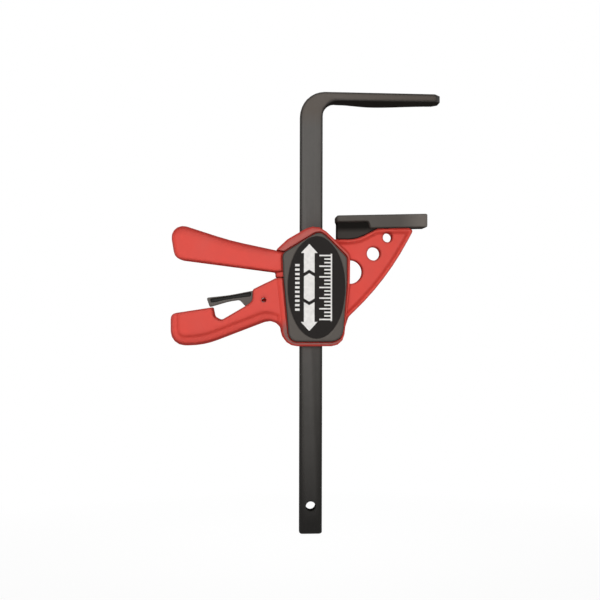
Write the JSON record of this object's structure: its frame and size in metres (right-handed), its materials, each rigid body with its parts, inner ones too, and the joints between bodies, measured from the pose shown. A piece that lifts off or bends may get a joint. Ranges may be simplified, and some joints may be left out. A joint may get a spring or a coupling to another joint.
{
  "type": "one-hand guide-rail clamp",
  "caption": "Quick-release clamp: bent flat steel bar with a flat finger, and a moulded head with jaw, pad, squeeze lever and release trigger that slides along it.",
  "frame": {"origin": "on the finger's clamping face, in the middle plane, over the middle of the pad", "axes": "+Z along the bar towards the finger, +X from the bar towards the finger's tip, -Y towards the labelled front"},
  "size_m": [0.1537, 0.0235, 0.2529],
  "materials": {
    "bar_steel": "black oxide, satin",
    "body_red": "satin moulded",
    "lever_red": "satin moulded",
    "front_cover_grey": "fine grained",
    "rear_cover_grey": "fine grained",
    "label_black": "printed film, satin",
    "upper_cover_screw_steel": "zinc plated",
    "middle_cover_screw_steel": "zinc plated",
    "lower_cover_screw_steel": "zinc plated",
    "lever_pin_steel": "ground",
    "fulcrum_pin_steel": "ground",
    "trigger_pin_steel": "ground",
    "upper_drive_plate_steel": "hardened, stamped",
    "lower_drive_plate_steel": "hardened, stamped",
    "brake_plate_steel": "hardened, stamped",
    "drive_spring_steel": "spring wire",
    "brake_spring_steel": "spring wire",
    "trigger_grey": "fine grained",
    "pad_grey": "fine grained"
  },
  "bodies": {
    "bar": {"bar": "bar_steel"},
    "head": {"body": "body_red", "front_cover": "front_cover_grey", "rear_cover": "rear_cover_grey", "front_label": "label_black", "upper_cover_screw": "upper_cover_screw_steel", "middle_cover_screw": "middle_cover_screw_steel", "lower_cover_screw": "lower_cover_screw_steel", "lever_pin": "lever_pin_steel", "fulcrum_pin": "fulcrum_pin_steel", "trigger_pin": "trigger_pin_steel", "jaw_pad": "pad_grey", "drive_spring": "drive_spring_steel", "brake_spring": "brake_spring_steel"},
    "lever": {"drive_lever": "lever_red"},
    "drive_plates": {"upper_drive_plate": "upper_drive_plate_steel", "lower_drive_plate": "lower_drive_plate_steel"},
    "trigger": {"release_trigger": "trigger_grey"},
    "brake": {"brake_plate": "brake_plate_steel"}
  },
  "joints": [
    {"name": "head_slide", "type": "slide", "parent": "bar", "child": "head", "axis": [0, 0, 1], "range_m": [-0.0845, 0.0639]},
    {"name": "lever_swing", "type": "hinge", "parent": "head", "child": "lever", "pos_m": [-0.0278, 0, -0.1291], "axis": [0, -1, 0], "range_deg": [0, 7.5], "stiffness_Nm_per_rad": 2, "springref_deg": -3.44},
    {"name": "drive_stroke", "type": "slide", "parent": "head", "child": "drive_plates", "axis": [0, 0, -1], "range_m": [0, 0.0027], "deforming": ["drive_spring"]},
    {"name": "trigger_swing", "type": "hinge", "parent": "head", "child": "trigger", "pos_m": [-0.0668, 0, -0.1141], "axis": [0, -1, 0], "range_deg": [0, 8], "stiffness_Nm_per_rad": 0.2, "springref_deg": -5.73},
    {"name": "brake_tilt", "type": "hinge", "parent": "head", "child": "brake", "pos_m": [-0.0492, 0, -0.1165], "axis": [0, 1, 0], "range_deg": [0, 5], "deforming": ["brake_spring"]}
  ],
  "couplings": [
    {"joint": "drive_stroke", "follows": "lever_swing", "m_per_rad": 0.0201},
    {"joint": "brake_tilt", "follows": "trigger_swing", "ratio": 0.62}
  ]
}
